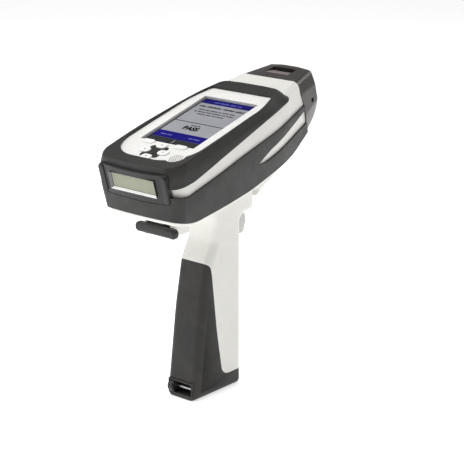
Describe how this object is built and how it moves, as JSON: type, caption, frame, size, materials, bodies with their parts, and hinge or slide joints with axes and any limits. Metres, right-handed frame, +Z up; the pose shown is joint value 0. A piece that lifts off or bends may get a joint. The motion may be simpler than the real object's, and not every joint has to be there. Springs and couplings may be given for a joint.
{
  "type": "handheld near-infrared spectrometer",
  "caption": "Pistol-shaped handheld near-infrared analyser: leaning barrel with screen, keys and rear read-out, dark sampling nose, trigger and rubber-backed grip.",
  "frame": {"origin": "middle of the flat base of the grip, on the face it stands on", "axes": "+Z up, +Y towards the sampling nose, +X to the user's right; the barrel leans back 15.4 degrees about X"},
  "size_m": [0.092, 0.2112, 0.264],
  "materials": {
    "white_shell": "semi-gloss warm white moulding",
    "black_bumper": "satin black over-moulded bumper",
    "black_shell": "fine-textured black moulding",
    "grip_rubber": "matte black grip rubber",
    "bezel_white": "smooth warm white",
    "key_white": "satin light grey keys with dark marks",
    "trigger_grey": "satin light grey",
    "clear_window": "clear polished",
    "sample_window": "dark polished optical window",
    "lens_glass": "polished lens",
    "display": "lit colour display",
    "grey_display": "grey segment display",
    "circuit_board": "green solder mask",
    "optics_metal": "machined, clear anodised",
    "optics_black": "black anodised",
    "steel": "plain steel",
    "contact_brass": "plated contacts",
    "battery_case": "shrink-wrapped cell",
    "switch_black": "moulded switch case",
    "lamp_glass": "clear lamp bulbs"
  },
  "bodies": {
    "instrument": {"upper_housing": "white_shell", "lower_housing": "white_shell", "top_bumper": "black_bumper", "side_bumper": "black_bumper", "bezel": "bezel_white", "nav_pad": "black_shell", "display_glass": "clear_window", "display_panel": "display", "keypad_mat": "switch_black", "main_board": "circuit_board", "rear_display_frame": "black_shell", "rear_display_window": "clear_window", "rear_display_module": "grey_display", "nose_cap": "black_shell", "nose_collar": "optics_black", "lamp_block": "optics_metal", "lamps": "lamp_glass", "nose_window": "sample_window", "optics_bench": "optics_metal", "lens_tube": "optics_black", "collimating_lens": "lens_glass", "grating_block": "optics_black", "detector": "steel", "detector_board": "circuit_board", "housing_screws": "steel", "grip_pad": "grip_rubber", "trigger_pin": "steel", "trigger_switch": "switch_black", "trigger_spring": "steel", "battery_pack": "battery_case", "battery_contacts": "contact_brass", "door_pin": "steel", "strap_lug": "black_shell", "strap_pin": "steel", "port_connector": "steel", "port_pin": "steel"},
    "trigger": {"trigger": "trigger_grey"},
    "soft_key_left": {"soft_key_left": "key_white"},
    "soft_key_right": {"soft_key_right": "key_white"},
    "nav_key_up": {"nav_key_up": "key_white"},
    "nav_key_down": {"nav_key_down": "key_white"},
    "nav_key_left": {"nav_key_left": "key_white"},
    "nav_key_right": {"nav_key_right": "key_white"},
    "port_cover": {"port_cover": "black_shell"},
    "battery_door": {"battery_door": "black_shell"}
  },
  "joints": [
    {"name": "trigger_pull", "type": "hinge", "parent": "instrument", "child": "trigger", "pos_m": [0, 0.041, 0.1575], "axis": [-1, 0, 0], "range_deg": [0, 8], "stiffness_Nm_per_rad": 0.25, "springref_deg": -6.88, "deforming": ["trigger_spring"]},
    {"name": "soft_key_left_press", "type": "slide", "parent": "instrument", "child": "soft_key_left", "axis": [0, 0.2656, -0.9641], "range_m": [0, 0.0007], "stiffness_N_per_m": 1500, "springref_m": -0.0003},
    {"name": "soft_key_right_press", "type": "slide", "parent": "instrument", "child": "soft_key_right", "axis": [0, 0.2656, -0.9641], "range_m": [0, 0.0007], "stiffness_N_per_m": 1500, "springref_m": -0.0003},
    {"name": "nav_key_up_press", "type": "slide", "parent": "instrument", "child": "nav_key_up", "axis": [0, 0.2656, -0.9641], "range_m": [0, 0.0007], "stiffness_N_per_m": 1500, "springref_m": -0.0003},
    {"name": "nav_key_down_press", "type": "slide", "parent": "instrument", "child": "nav_key_down", "axis": [0, 0.2656, -0.9641], "range_m": [0, 0.0007], "stiffness_N_per_m": 1500, "springref_m": -0.0003},
    {"name": "nav_key_left_press", "type": "slide", "parent": "instrument", "child": "nav_key_left", "axis": [0, 0.2656, -0.9641], "range_m": [0, 0.0007], "stiffness_N_per_m": 1500, "springref_m": -0.0003},
    {"name": "nav_key_right_press", "type": "slide", "parent": "instrument", "child": "nav_key_right", "axis": [0, 0.2656, -0.9641], "range_m": [0, 0.0007], "stiffness_N_per_m": 1500, "springref_m": -0.0003},
    {"name": "port_cover_open", "type": "hinge", "parent": "instrument", "child": "port_cover", "pos_m": [0, -0.049, 0.1506], "axis": [1, 0, 0], "range_deg": [0, 100]},
    {"name": "battery_door_open", "type": "hinge", "parent": "instrument", "child": "battery_door", "pos_m": [0, 0.0246, 0.0029], "axis": [1, 0, 0], "range_deg": [0, 90]}
  ]
}
